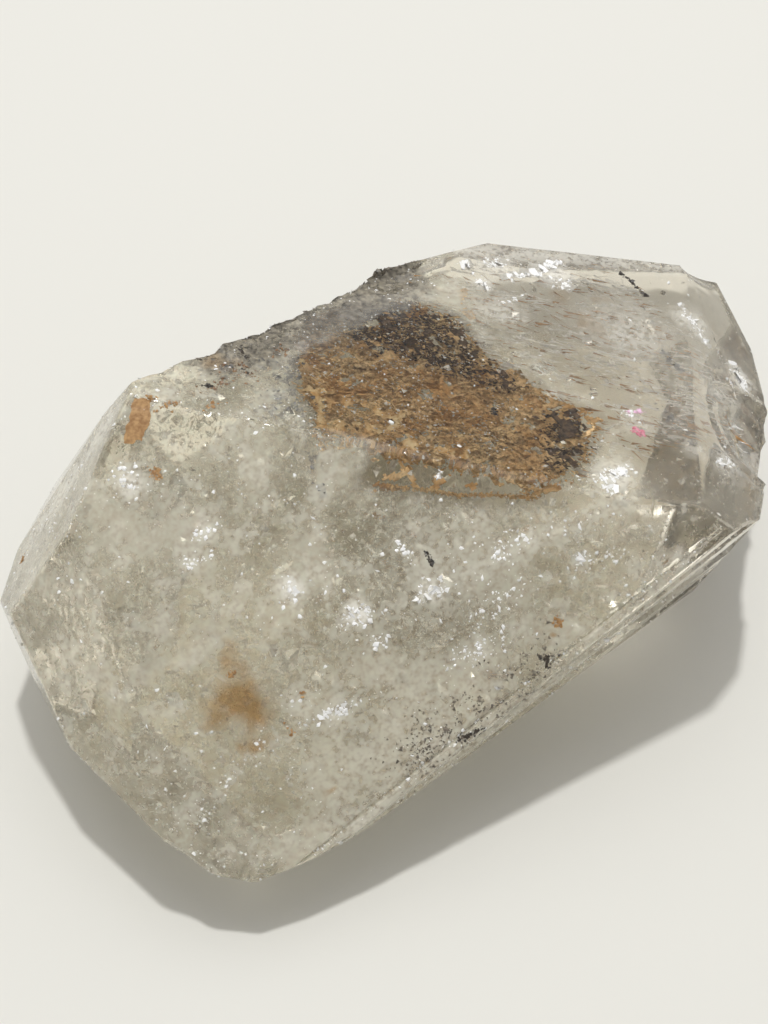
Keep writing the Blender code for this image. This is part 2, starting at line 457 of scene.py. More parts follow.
def stretched_guide(line, length, width):
    """Helper that stretches a texture along a line."""
    start, end = line
    along = (end - start).normalized()
    turn = along.to_track_quat("X", "Z").to_matrix().to_4x4()
    guide = bpy.data.objects.new("guide", None)
    bpy.context.scene.collection.objects.link(guide)
    guide.matrix_world = (Matrix.Translation(start) @ turn
                          @ Matrix.Diagonal((length, width, width, 1.0)))
    bpy.context.view_layer.update()
    return guide


def paint(piece, name, values):
    """Keep a value for each point of a mesh, for its material to read."""
    layer = piece.data.attributes.new(name, "FLOAT", "POINT")
    layer.data.foreach_set("value", np.asarray(values, dtype=np.float32))


# Rust under the surface: where, how far it reaches in millimetres, and how strong it is
RUST_SPOTS = (
    ((-15.1, -5.9, 11.9), 1.4, 0.7), ((-15.5, -7.2, 10.6), 2.2, 0.9),
    ((-16.7, -7.2, 10.1), 1.7, 0.7), ((-14.9, -8.0, 10.1), 1.7, 0.8),
    ((-15.8, -9.1, 9.0), 1.4, 0.7), ((-22.4, 2.6, 9.3), 1.5, 0.4),
    ((-21.8, -2.5, 8.8), 1.6, 0.35), ((12.2, 2.8, 12.7), 1.8, 0.42),
    ((14.6, 4.6, 12.0), 1.3, 0.35), ((15.6, 1.0, 12.0), 1.2, 0.3),
    ((12.4, 5.8, 12.5), 1.5, 0.3), ((0.1, -12.0, 11.3), 0.5, 0.9),
    ((-13.4, -12.0, 6.5), 0.7, 0.6), ((-8.2, 7.6, 17.2), 2.0, 0.35),
)

# Frost and painted light: where, how far they reach in millimetres, and how white they are
FROST_AND_LIGHT_SPOTS = (
    ((-11.1, -4.9, 13.9), 1.3, 0.90), ((-8.8, -7.5, 13.2), 1.3, 1.00), ((-5.1, -8.4, 13.6), 1.2, 1.00),
    ((-11.6, -10.0, 9.9), 1.3, 0.60), ((-3.9, -11.2, 11.0), 1.4, 0.45), ((-12.9, -8.8, 10.5), 1.7, 0.40),
    ((-15.5, 3.3, 16.6), 1.6, 0.80), ((-13.4, -0.5, 15.3), 1.0, 0.60), ((-14.5, -1.4, 14.7), 1.3, 0.40),
    ((-12.0, 6.0, 18.3), 1.2, 0.25), ((-8.3, -8.8, 12.2), 1.4, 0.35), ((2.4, -10.6, 13.5), 1.0, 0.50),
    # Many spots at the window and the clear end are painted highlights, white where the glass shows bright
    # reflections of the light
    ((14.0, 1.2, 12.5), 4.9, 0.38), ((13.2, 7.4, 12.2), 1.9, 0.75), ((10.4, 9.4, 12.7), 2.5, 0.50),
    ((8.7, 8.1, 13.2), 1.2, 0.60), ((8.4, 5.6, 13.5), 2.3, 0.40), ((6.0, -8.0, 15.1), 1.9, 0.70),
    ((9.7, -5.2, 14.0), 1.7, 0.35), ((18.4, 0.9, 11.2), 2.2, 0.60), ((19.2, -3.0, 9.7), 1.6, 0.95),
    ((15.5, -4.5, 12.0), 8.5, 0.26), ((13.2, -8.8, 12.4), 2.3, 0.45), ((11.5, -8.1, 13.8), 1.4, 0.40),
    # Painted light: these two wide spots brighten the front faces that turn away from the key light
    ((-9.5, -12.0, 8.0), 9.0, 0.30), ((-4.5, -7.5, 13.2), 5.5, 0.26),
)


QUARTZ_IOR = 1.544
HAZE_LUMP = 3.2 * MM
HAZE_GRAIN = 0.36 * MM
WAVE_SIZE = 1.3 * MM


def quartz_material(settings):
    """Clear to milky quartz, with a grey crest and soft rust stains."""
    recipe = Recipe("clear to cloudy quartz")
    broad = recipe.noise(HAZE_LUMP, 1.0)
    fine = recipe.noise(HAZE_GRAIN, 1.0, 0.7)
    clear = recipe.painted("clear")
    crest = recipe.painted("crest")
    rust = recipe.painted("rust")
    mottle = recipe.math("ADD", broad, recipe.math("MULTIPLY", fine, 0.30))
    frost = recipe.painted("frost")
    hazy = recipe.ramp(mottle, 0.46, 0.84, settings.haze_transmission + 0.16,
                       settings.haze_transmission - 0.10)
    hazy = recipe.math("SUBTRACT", hazy, recipe.math("MULTIPLY", crest, 0.32))
    through = recipe.blend(clear, hazy, 1.0)
    # The painted whitening covers frosted patches, painted highlights and painted light
    patchy = recipe.math("MULTIPLY", frost, recipe.ramp(fine, 0.2, 0.55))
    through = recipe.blend(patchy, through, 0.15)
    recipe.set(transmission_weight=through)
    tone = recipe.ramp(fine, 0.3, 0.7)
    colour = recipe.mix(tone, [c * 0.93 for c in settings.haze_colour],
                        [min(c * 1.08, 1.0) for c in settings.haze_colour])
    grey = recipe.mix(tone, [c * 0.45 for c in settings.crest_colour],
                      [c * 1.5 for c in settings.crest_colour])
    colour = recipe.mix(crest, colour, grey)
    colour = recipe.mix(clear, colour, (1.0, 0.96, 0.88))
    colour = recipe.mix(patchy, colour, (1.0, 0.975, 0.90))
    ragged = recipe.ramp(recipe.math("ADD", rust, recipe.math("MULTIPLY", mottle, 0.5)), 0.44, 1.04)
    rusty = recipe.math("MULTIPLY", ragged, recipe.ramp(rust, 0.0, 0.25))
    colour = recipe.mix(rusty, colour, settings.rust_colour)
    recipe.set(base_color=colour, ior=QUARTZ_IOR, roughness=recipe.ramp(mottle, 0.4, 1.1, 0.02, 0.16))
    recipe.set(normal=recipe.bump(recipe.noise(WAVE_SIZE, 0.0), 0.25, 0.10 * MM))
    tint = recipe.add("ShaderNodeVolumeAbsorption", {
        "Color": (*settings.tint_colour, 1.0), "Density": settings.tint_density})
    recipe.tree.links.new(tint.outputs[0], recipe.output.inputs["Volume"])
    return recipe.material


class CRYSTAL_OT_body(bpy.types.Operator):
    """Model the crystal's surface over its solid"""

    bl_idname = "crystal.body"
    bl_label = "Crystal body"

    def execute(self, context):
        settings = context.scene.crystal_body
        piece = merged_solid("quartz_crystal")
        bpy.ops.object.mode_set(mode="EDIT")
        refine(settings.mesh_edge)
        bpy.ops.object.mode_set(mode="OBJECT")
        points = points_of(piece)
        crest = near_line(points, CREST, CREST_REACH) * (points[:, 2] > 2.0 * MM)
        relief = settings.crest_relief
        displace(piece, "crest_lumps", "VORONOI", 1.1 * MM, relief * 1.4, crest, middle=0.9)
        displace(piece, "crest_grain", "CLOUDS", 0.5 * MM, relief, crest, middle=0.75)
        rim = near_line(points, FRONT_RIM, RIM_REACH)
        guide = stretched_guide(FRONT_RIM, 3.5 * MM, 0.5 * MM)
        displace(piece, "rim_lines", "CLOUDS", 1.0, settings.rim_relief, rim, guide, middle=0.7)
        bpy.data.objects.remove(guide)
        ridges = np.maximum(near_line(points, WINDOW_RIDGE, RIDGE_REACH),
                            near_line(points, LOWER_RIDGE, RIDGE_REACH))
        displace(piece, "ridge_nicks", "CLOUDS", 0.35 * MM, NICK_RELIEF, ridges, middle=0.8)
        every = np.full(len(points), 1.0)
        displace(piece, "face_swell", "CLOUDS", 2.8 * MM, SWELL_RELIEF, every, middle=0.6)
        points = points_of(piece)
        rings = np.linalg.norm(points - np.array(RIGHT_CHIP), axis=1)
        near = ease(1.0 - np.abs(rings - CHIP_RADIUS) / CHIP_FADE) * (points[:, 0] > CHIP_FROM_X)
        waves = np.sin(rings * 2.0 * np.pi / RING_WIDTH) ** 3 - 1.0
        points += normals_of(piece) * (waves * near * RING_DEPTH)[:, None]
        piece.data.vertices.foreach_set("co", points.ravel())
        piece.data.update()
        cloudy = cloudiness(points)
        bare = np.maximum(0.8 - 0.8 * cloudy, over_stain(points, 1.0 * MM))
        grey = near_line(points, CREST, GREY_REACH)
        grey = ease(grey * 1.8 + 0.35 * clouds(points, 1.3 * MM, 4, 3.0)) * (grey > 0.0)
        paint(piece, "crest", grey)
        paint(piece, "clear", bare * (1.0 - 0.85 * grey))
        rust = np.zeros(len(points))
        frayed = FRAY * np.column_stack([clouds(points, 0.9 * MM, 3, shift)
                                         for shift in (1.0, 5.0, 9.0)])
        for place, reach, strength in RUST_SPOTS:
            near = near_place(points + frayed, Vector(place) * MM, reach * MM)
            rust = np.maximum(rust, strength * near)
        paint(piece, "rust", rust)
        puffs = ease(2.2 * clouds(points, 1.0 * MM, 5, 6.0) - 0.1) * cloudy
        frost = np.maximum(0.32 * near_line(points, LOWER_RIDGE, 1.2 * MM), 0.26 * puffs)
        for place, reach, strength in FROST_AND_LIGHT_SPOTS:
            near = near_place(points + 0.4 * frayed, Vector(place) * MM, reach * MM)
            frost = np.maximum(frost, strength * near)
        frost = np.maximum(frost, 0.55 * near_line(points, BACK_EDGE, 1.6 * MM))
        frost = np.maximum(frost, 0.5 * near_line(points, FRONT_RIM, 3.0 * MM))
        # Painted light: the face behind the left end is whitened as if lit
        frost = np.maximum(frost, 0.6 * near_line(points, LEFT_BACK_FACE, 2.2 * MM))
        paint(piece, "frost", frost * (1.0 - over_stain(points, 1.0 * MM)) * (1.0 - grey))
        bpy.ops.object.shade_smooth_by_angle(angle=SMOOTH_ANGLE)
        finish_piece(piece, quartz_material(settings))
        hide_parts(CAD_NODE)
        return {"FINISHED"}


# Flakes and grains

VEIL_FLAKES = 420
VEIL_FLAKE_SIZE = 0.11 * MM
PLATE_SIZE = 0.42 * MM
SPARKLE_SIZE = 0.075 * MM
LARGEST_SPARKLE = 0.32 * MM


def flake_mesh(name, centres, normals, sizes, rng, along=None, stretch=1.0, thickness=0.2, sides=3):
    """Thin closed flakes, each an uneven plate with a low point on both faces."""
    count = len(centres)
    helper = rng.normal(size=(count, 3)) if along is None else np.tile(along, (count, 1))
    second = unit_rows(np.cross(normals, helper))
    first = np.cross(second, normals)
    turns = np.linspace(0.0, 2.0 * np.pi, sides, endpoint=False)[None, :]
    turns = turns + rng.uniform(-0.4, 0.4, (count, sides))
    reach = sizes[:, None] * 0.5 * rng.uniform(0.6, 1.3, (count, sides))
    rim = (centres[:, None, :]
           + first[:, None, :] * (np.cos(turns) * reach)[..., None] * stretch
           + second[:, None, :] * (np.sin(turns) * reach)[..., None])
    lift = normals * (sizes * thickness * 0.5)[:, None]
    points = np.concatenate([rim, (centres + lift)[:, None], (centres - lift)[:, None]], axis=1)
    ring = np.arange(sides)
    after = (ring + 1) % sides
    top = np.stack([ring, after, np.full(sides, sides)], axis=1)
    under = np.stack([after, ring, np.full(sides, sides + 1)], axis=1)
    base = np.arange(count)[:, None, None] * (sides + 2)
    faces = (np.concatenate([top, under])[None] + base).reshape(-1, 3)
    mesh = bpy.data.meshes.new(name)
    mesh.from_pydata(points.reshape(-1, 3).tolist(), [], faces.tolist())
    mesh.update()
    piece = bpy.data.objects.new(name, mesh)
    bpy.context.scene.collection.objects.link(piece)
    return piece


def loose_normals(rng, count, lean=(0.0, 0.0, 0.0)):
    """Random directions that lean one way."""
    return unit_rows(rng.normal(size=(count, 3)) + lean)


def two_tone(name, dark, light, roughness, size=0.25 * MM, metallic=0.0):
    """Matt material that changes from grain to grain."""
    recipe = Recipe(name)
    tone = recipe.ramp(recipe.noise(size), 0.35, 0.65)
    recipe.set(base_color=recipe.mix(tone, dark, light), roughness=roughness, metallic=metallic)
    return recipe.material


def veil_points(rng, count, each):
    """Points and normals of curved veils, patchy as healed cracks are."""
    centres = scatter(rng, count * 3, 1.0 * MM)
    centres = centres[rng.uniform(size=len(centres)) < 0.12 + cloudiness(centres)][:count]
    found, looks = [], []
    for centre in centres:
        normal = Vector(loose_normals(rng, 1, (0.5, -0.7, 0.4))[0])
        frame_turn = np.array(normal.to_track_quat("Z", "Y").to_matrix())
        reach = rng.uniform(1.5, 4.5) * MM
        flat = rng.normal(size=(each, 2)) * reach * (0.5, 0.28)
        bend = (flat[:, 0] ** 2 - flat[:, 1] ** 2) / (reach * 2.5)
        patch = np.column_stack([flat, bend]) @ frame_turn.T + centre
        keep = clouds(patch, 0.8 * MM, 3, shift=float(centre[0]) / MM) > -0.02
        found.append(patch[keep])
        looks.append(np.tile(normal, (int(keep.sum()), 1)))
    points, normals = np.concatenate(found), np.concatenate(looks)
    deep = (depths(points) > 0.5 * MM) & (over_stain(points, 0.5 * MM) < 0.5)
    return points[deep], unit_rows(normals[deep] + rng.normal(size=(int(deep.sum()), 3)) * 0.25)


class CRYSTAL_OT_veils(bpy.types.Operator):
    """Scatter flakes, veils and bright cracks inside the crystal"""

    bl_idname = "crystal.veils"
    bl_label = "Veils and cracks"

    def execute(self, context):
        settings = context.scene.crystal_inclusions
        rng = np.random.default_rng(SEED)
        white = two_tone("pale crack walls", (0.88, 0.86, 0.79), (0.98, 0.97, 0.94), 0.3)
        points = scatter(rng, settings.flake_count, 0.35 * MM)
        clumps = clouds(points, 2.2 * MM, 3)
        chance = (0.05 + 0.95 * cloudiness(points)) * np.clip(0.75 + 1.3 * clumps, 0.1, 1.0)
        chance = chance * (1.0 - 0.95 * over_stain(points, 0.8 * MM))
        points = points[rng.uniform(size=len(points)) < chance]
        sizes = settings.flake_size * rng.lognormal(0.0, 0.5, len(points))
        normals = loose_normals(rng, len(points), (0.2, -0.3, 0.9))
        finish_piece(flake_mesh("white_flakes", points, normals, sizes, rng), white)
        points, normals = veil_points(rng, settings.veil_count, VEIL_FLAKES)
        sizes = VEIL_FLAKE_SIZE * rng.lognormal(0.0, 0.45, len(points))
        finish_piece(flake_mesh("bubble_veils", points, normals, sizes, rng, thickness=0.35), white)
        points = scatter(rng, settings.plate_count, 0.45 * MM)
        chance = (0.25 + 0.75 * cloudiness(points)) * (1.0 - over_stain(points, 0.5 * MM))
        points = points[rng.uniform(size=len(points)) < chance]
        sizes = PLATE_SIZE * rng.lognormal(0.0, 0.5, len(points))
        normals = loose_normals(rng, len(points), (0.2, 0.1, 1.2))
        mirror = two_tone("bright crack plates", (0.9, 0.89, 0.86), (1.0, 1.0, 0.98), 0.12, metallic=1.0)
        finish_piece(flake_mesh("crack_plates", points, normals, sizes, rng, sides=6,
                                thickness=0.12), mirror)
        return {"FINISHED"}


class CRYSTAL_OT_sparkles(bpy.types.Operator):
    """Set small white chips into the surface as painted glints"""

    bl_idname = "crystal.sparkles"
    bl_label = "Sparkling chips"

    def execute(self, context):
        settings = context.scene.crystal_inclusions
        rng = np.random.default_rng(SEED + 1)
        body = context.scene.objects["quartz_crystal"]
        points = points_of(body)
        looks = normals_of(body)
        clumps = clouds(points, 1.9 * MM, 3, shift=7.0)
        chance = np.clip(clumps * 1.6 + 0.3, 0.06, 1.0) * (0.15 + 0.85 * cloudiness(points))
        chance = chance * (points[:, 2] > 0.6 * MM) * (1.0 - 0.8 * over_stain(points, 0.5 * MM))
        chance = chance * (1.0 - 0.8 * near_line(points, CREST, 6.0 * MM))
        chosen = rng.choice(len(points), settings.sparkle_count, replace=False, p=chance / chance.sum())
        sizes = np.minimum(SPARKLE_SIZE * rng.lognormal(0.0, 0.7, len(chosen)), LARGEST_SPARKLE)
        sunk = np.where(rng.uniform(size=len(chosen)) < 0.5, 0.06, 0.4)
        spots = points[chosen] - looks[chosen] * (sizes * sunk)[:, None]
        normals = unit_rows(looks[chosen] + rng.normal(size=(len(chosen), 3)) * 0.45)
        # Painted glints: white matt chips stand for the light that tiny cracks catch
        white = two_tone("sparkling chips", (0.90, 0.89, 0.85), (1.0, 1.0, 1.0), 0.2)
        finish_piece(flake_mesh("sparkles", spots, normals, sizes, rng, sides=5, thickness=0.3), white)
        return {"FINISHED"}


# Iron stain

FILM_THICKNESS = 0.05 * MM
FILM_CELL = 0.15
EDGE_GRAINS = 700
EDGE_LIFT = 0.25 * MM


def stain_sheet(name, outline, lift, cell, relief, holes, shift):
    """Ragged, lumpy, holed film that fills an outline along the stained crack."""
    corners = np.array(outline)
    low, high = corners.min(axis=0), corners.max(axis=0)
    deselect_all()
    bpy.ops.mesh.primitive_grid_add(x_subdivisions=int((high[0] - low[0]) / cell),
                                    y_subdivisions=int((high[1] - low[1]) / cell), size=1.0)
    piece = bpy.context.object
    piece.name = name
    piece.data.name = name
    points = points_of(piece) * (*(high - low), 0.0) * MM
    points[:, :2] += (high + low) / 2.0 * MM
    ragged = 0.5 * MM * clouds(points, 0.9 * MM, 4, shift)
    gaps = clouds(points, 0.8 * MM, 4, shift + 5.0)
    bare = (outline_depth(points, outline) < ragged) | (gaps > holes)
    lumps = clouds(points, 1.1 * MM, 5, shift + 9.0)
    points[:, 2] = stain_height(points[:, 0], points[:, 1]) + lift + relief * lumps
    piece.data.vertices.foreach_set("co", points.ravel())
    piece.data.update()
    bpy.ops.object.mode_set(mode="EDIT")
    if select_where(lambda vert: bare[vert.index], "verts"):
        bpy.ops.mesh.delete(type="VERT")
    bpy.ops.mesh.select_all(action="SELECT")
    bpy.ops.mesh.normals_make_consistent(inside=False)
    bpy.ops.object.mode_set(mode="OBJECT")
    wall = piece.modifiers.new("wall", "SOLIDIFY")
    wall.thickness = FILM_THICKNESS
    wall.offset = 0.0
    make_active(piece)
    bpy.ops.object.modifier_apply(modifier="wall")
    return piece


def rust_material():
    """Film of iron oxide, from ochre to nearly black."""
    recipe = Recipe("iron stain")
    broad = recipe.noise(2.2 * MM, 3.0, 0.6)
    fine = recipe.noise(0.28 * MM, 3.0, 0.7)
    colour = recipe.mix(recipe.ramp(broad, 0.38, 0.62), (0.66, 0.39, 0.15), (0.95, 0.72, 0.40))
    dark = recipe.ramp(recipe.math("ADD", fine, recipe.math("MULTIPLY", broad, 0.4)), 0.66, 0.98)
    colour = recipe.mix(dark, colour, (0.20, 0.105, 0.045))
    recipe.set(base_color=colour, roughness=recipe.ramp(fine, 0.3, 0.7, 0.3, 0.65))
    recipe.set(normal=recipe.bump(fine, 0.5, 0.06 * MM))
    return recipe.material


def stain_grains(name, rng, outline, count, size, low, high, material, stretch=1.0):
    """Grains along the stained crack, inside an outline, between two heights over it."""
    corners = np.array(outline) * MM
    points = rng.uniform((*corners.min(axis=0), 0.0), (*corners.max(axis=0), 1.0), (count * 4, 3))
    points[:, 2] = (stain_height(points[:, 0], points[:, 1]) + low
                    + points[:, 2] * (high - low))
    keep = (outline_depth(points, outline) > 0.25 * MM * rng.normal(size=len(points)))
    points = points[keep & (clouds(points, 0.9 * MM, 3) > -0.1) & (depths(points) > 0.2 * MM)][:count]
    sizes = size * rng.lognormal(0.0, 0.4, len(points))
    normals = loose_normals(rng, len(points), STAIN_TILT * 1.2)
    piece = flake_mesh(name, points, normals, sizes, rng, along=STREAK_WAY, stretch=stretch,
                       thickness=0.5, sides=4)
    finish_piece(piece, material)


class CRYSTAL_OT_iron_stain(bpy.types.Operator):
    """Lay the iron-stained crack under the window"""

    bl_idname = "crystal.iron_stain"
    bl_label = "Iron stain"

    def execute(self, context):
        settings = context.scene.crystal_inclusions
        rng = np.random.default_rng(SEED + 2)
        rust = rust_material()
        ochre = two_tone("ochre film", (0.74, 0.45, 0.17), (0.98, 0.80, 0.48), 0.5, 0.5 * MM)
        dark = two_tone("dark clay", (0.040, 0.028, 0.018), (0.20, 0.125, 0.070), 0.5, 0.3 * MM)
        for name, outline, lift, relief, holes, shift, material in (
                ("rust_film", STAIN_OUTLINE, 0.0, 0.42, 0.34, 1.3, rust),
                ("rust_film_upper", STAIN_OUTLINE, 0.35, 0.30, -0.08, 4.1, rust),
                ("orange_film", ORANGE_OUTLINE, 0.1, 0.25, 0.2, 2.7, rust),
                ("ochre_film", OCHRE_OUTLINE, 0.34, 0.30, 0.12, 7.7, ochre),
                ("drip_film", DRIP_OUTLINE, 0.0, 0.25, -0.12, 5.2, rust),
                ("dark_film", DARK_OUTLINE, 0.42, 0.30, 0.06, 6.3, dark),
                ("dark_film_end", END_OUTLINE, 0.35, 0.25, 0.16, 9.2, dark)):
            piece = stain_sheet(name, outline, lift * MM, FILM_CELL, relief * MM, holes, shift)
            finish_piece(piece, material)
        count = settings.grain_count
        for name, outline, share, size, low, high, stretch, material in (
                ("rust_grains", STAIN_OUTLINE, 1.0, 0.17, -0.2, 0.75, 1.6, rust),
                ("dark_grains", DARK_OUTLINE, 0.2, 0.16, 0.1, 0.9, 1.4, dark),
                ("dark_grains_end", END_OUTLINE, 0.08, 0.15, 0.1, 0.7, 1.8, dark)):
            stain_grains(name, rng, outline, int(count * share), size * MM, low * MM, high * MM,
                         material, stretch)
        line = np.array([(x, y, 0.0) for x, y in LOWER_LINE]) * MM
        share = np.sort(rng.uniform(0.0, len(line) - 1.001, EDGE_GRAINS))
        index = share.astype(int)
        points = line[index] + (line[index + 1] - line[index]) * (share - index)[:, None]
        points[:, 2] = stain_height(points[:, 0], points[:, 1]) + EDGE_LIFT
        points += rng.normal(size=points.shape) * 0.05 * MM
        sizes = 0.12 * MM * rng.lognormal(0.0, 0.4, len(points))
        finish_piece(flake_mesh("stain_edge", points, loose_normals(rng, len(points)), sizes, rng,
                                thickness=0.6, sides=4), rust)
        glints = two_tone("glints", (0.85, 0.82, 0.75), (1.0, 0.99, 0.97), 0.2)
        stain_grains("glints", rng, STAIN_OUTLINE, count // 14, 0.13 * MM, 0.5 * MM, 1.0 * MM, glints)
        return {"FINISHED"}


# Small marks: lumps of grains, each with its place and reach in millimetres and its grain count

DARK_SPECKS = (
    ((-6.4, -13.5, 7.78), (0.2, 0.1, 0.1), 12), ((-6.1, -13.55, 7.8), (0.2, 0.1, 0.1), 14),
    ((-5.85, -13.6, 7.85), (0.2, 0.1, 0.1), 12), ((-5.55, -13.7, 7.9), (0.2, 0.1, 0.05), 9),
    ((-5.25, -13.7, 7.93), (0.15, 0.1, 0.05), 6), ((-5.3, -13.5, 7.6), (0.5, 0.2, 0.2), 8),
    ((-1.3, -12.6, 10.3), (0.1, 0.1, 0.05), 4), ((-1.15, -12.75, 10.17), (0.12, 0.1, 0.05), 6),
    ((-1.0, -12.9, 10.04), (0.12, 0.1, 0.1), 9), ((-0.78, -12.9, 10.1), (0.12, 0.1, 0.05), 6),
    ((-0.57, -12.94, 10.16), (0.1, 0.1, 0.05), 4), ((-1.0, -13.1, 9.87), (0.1, 0.1, 0.1), 6),
    ((-0.98, -13.26, 9.7), (0.08, 0.1, 0.1), 4), ((-6.7, 8.0, 16.8), (0.25, 0.3, 0.1), 18),
    ((-6.65, 7.5, 16.9), (0.2, 0.2, 0.1), 12), ((-7.3, 6.5, 17.1), (0.15, 0.3, 0.1), 12),
    ((-4.4, -7.1, 14.3), (0.16, 0.4, 0.2), 30), ((3.0, -1.5, 15.3), (0.25, 0.3, 0.15), 26),
    ((17.1, 5.1, 11.2), (0.12, 1.7, 0.1), 60), ((-9.5, 6.2, 17.6), (0.2, 0.2, 0.1), 14),
)
GREY_SPECKS = (
    ((-5.6, 6.4, 16.7), (0.9, 0.7, 0.1), 90), ((-5.5, 5.0, 16.8), (0.5, 0.5, 0.1), 60),
    ((-6.8, 3.9, 17.2), (0.8, 0.5, 0.1), 90), ((-6.4, 2.4, 17.2), (0.6, 0.5, 0.1), 60),
    ((-6.4, 3.9, 16.9), (1.2, 1.5, 0.2), 130), ((-7.7, 3.0, 17.4), (0.9, 0.7, 0.2), 70),
    ((-5.3, 6.0, 16.6), (0.9, 0.9, 0.2), 70), ((-7.1, -0.5, 16.8), (0.3, 0.7, 0.2), 40),
    ((-7.5, -1.8, 16.1), (0.25, 0.6, 0.2), 30), ((-7.7, 7.2, 17.2), (1.6, 0.8, 0.2), 110),
    ((14.9, -1.9, 12.5), (0.25, 1.4, 0.1), 70), ((11.7, -5.7, 13.6), (0.3, 1.8, 0.2), 70),
)
UMBER_SPECKS = (
    ((-7.3, 6.2, 17.1), (0.5, 1.2, 0.1), 60), ((-8.2, 6.4, 17.3), (0.9, 0.8, 0.1), 50),
    ((-4.6, 7.3, 16.4), (0.9, 0.5, 0.1), 40), ((-9.4, 5.9, 17.6), (0.8, 0.4, 0.1), 30),
)
BROWN_SPECKS = (
    ((-12.8, 5.9, 18.4), (0.5, 0.3, 0.1), 40), ((-14.2, 3.1, 16.3), (0.35, 0.4, 0.2), 70),
    ((0.3, -11.9, 11.2), (0.25, 0.35, 0.2), 60), ((-20.6, 6.2, 9.3), (0.35, 0.4, 0.4), 40),
    ((-12.2, 5.4, 18.2), (0.9, 0.3, 0.1), 60), ((-10.2, 4.6, 18.0), (0.9, 0.25, 0.1), 50),
    ((-15.3, -6.3, 11.5), (0.3, 0.2, 0.2), 24), ((-13.8, -9.4, 9.3), (0.2, 0.4, 0.2), 18),
    ((-12.6, -8.6, 10.6), (0.2, 0.2, 0.2), 16),
)
# White specks; those at the window and the clear end are painted highlights, white where the glass
# reflects the light
WHITE_SPECKS_AND_HIGHLIGHTS = (
    ((-11.1, -4.9, 13.9), (0.9, 0.7, 0.2), 60), ((-8.8, -7.5, 13.2), (1.0, 0.7, 0.25), 90),
    ((-5.1, -8.4, 13.6), (1.0, 0.7, 0.25), 90), ((-11.6, -10.0, 9.9), (1.1, 0.5, 0.5), 90),
    ((-3.9, -11.2, 11.0), (1.8, 0.8, 0.8), 150), ((-2.0, -10.2, 12.6), (2.2, 0.9, 0.9), 120),
    ((-0.6, -8.6, 14.6), (1.9, 1.1, 0.4), 90), ((3.4, -11.0, 13.2), (1.6, 0.5, 0.5), 60),
    ((-8.3, -8.8, 12.2), (0.7, 0.5, 0.4), 40),
    ((-15.5, 3.3, 16.6), (0.8, 0.8, 0.3), 80), ((-13.2, 5.8, 18.2), (0.6, 0.3, 0.2), 40),
    ((-13.4, -0.5, 15.3), (0.9, 0.4, 0.3), 50), ((-14.5, -1.4, 14.7), (1.0, 0.5, 0.3), 50),
    ((13.4, 8.2, 12.1), (0.7, 0.35, 0.15), 80), ((11.6, 8.0, 12.5), (1.2, 0.35, 0.15), 70),
    ((13.0, 6.4, 12.3), (0.6, 0.6, 0.15), 50), ((8.8, 10.2, 13.0), (0.3, 0.5, 0.15), 40),
    ((10.4, 9.6, 12.7), (0.9, 0.5, 0.15), 50), ((8.7, 8.1, 13.2), (0.3, 0.8, 0.15), 40),
    ((9.6, 6.2, 13.2), (1.0, 0.3, 0.15), 50), ((6.2, -7.9, 15.1), (1.2, 0.5, 0.2), 80),
    ((5.3, -8.6, 15.4), (0.6, 0.4, 0.2), 50), ((9.9, -4.4, 13.9), (0.7, 0.5, 0.2), 40),
    ((18.4, 0.9, 11.1), (0.4, 1.5, 0.3), 90), ((19.2, -3.0, 9.7), (0.4, 0.9, 0.3), 110),
    ((13.2, -8.8, 12.4), (1.1, 0.3, 0.4), 60), ((-2.0, -4.1, 16.2), (0.3, 0.3, 0.1), 16),
    ((-5.3, -6.2, 14.5), (0.4, 0.7, 0.2), 40), ((2.4, -10.6, 13.5), (0.4, 0.4, 0.3), 30),
)
# Painted highlights: larger white plates set where the glass shows bright reflections of the light
HIGHLIGHTS = (
    ((13.4, 8.2, 12.1), (0.9, 0.3, 0.1), 26), ((11.6, 8.0, 12.5), (1.5, 0.3, 0.1), 26),
    ((13.0, 6.5, 12.3), (0.6, 0.6, 0.1), 22), ((10.4, 9.6, 12.7), (0.9, 0.4, 0.1), 14),
    ((8.8, 10.2, 13.0), (0.3, 0.4, 0.1), 10), ((8.7, 8.1, 13.2), (0.2, 0.8, 0.1), 12),
    ((18.4, 0.9, 11.1), (0.5, 2.0, 0.2), 34), ((19.2, -3.0, 9.7), (0.4, 0.9, 0.3), 34),
    ((6.2, -7.9, 15.1), (1.1, 0.4, 0.2), 22), ((5.3, -8.6, 15.4), (0.6, 0.5, 0.2), 22),
    ((13.2, -8.8, 12.4), (1.3, 0.3, 0.4), 14), ((-8.8, -7.5, 13.2), (0.7, 0.5, 0.2), 12),
    ((-5.1, -8.4, 13.6), (0.8, 0.5, 0.2), 12), ((-11.1, -4.9, 13.9), (0.7, 0.5, 0.2), 9),
    ((-11.6, -10.0, 9.9), (0.8, 0.4, 0.3), 9), ((2.4, -10.6, 13.5), (0.2, 0.2, 0.1), 5),
)
PINK_SPECKS = (((10.3, -4.5, 13.8), (0.45, 0.35, 0.1), 46),)
RED_SPECKS = (((9.4, -5.7, 14.1), (0.4, 0.5, 0.1), 60),)
OCHRE_BLOCK = ((-13.5, 6.4, 18.4), (-12.9, 6.0, 18.4), (-13.3, 5.2, 18.0), (-14.1, 4.5, 17.5),
               (-15.0, 4.9, 17.4), (-14.2, 5.7, 18.0))
PATCH_CUTS = 9
PATCH_THICKNESS = 0.06 * MM
PATCH_LIFT = 0.015 * MM
BAND_GRAINS = 1700
BAND_WIDTH = 0.8 * MM
BAND_GRAIN_SIZE = 0.11 * MM
GREY_BAND = (Vector((-9.6, -12.9, 7.5)) * MM, Vector((-0.8, -12.9, 10.0)) * MM)


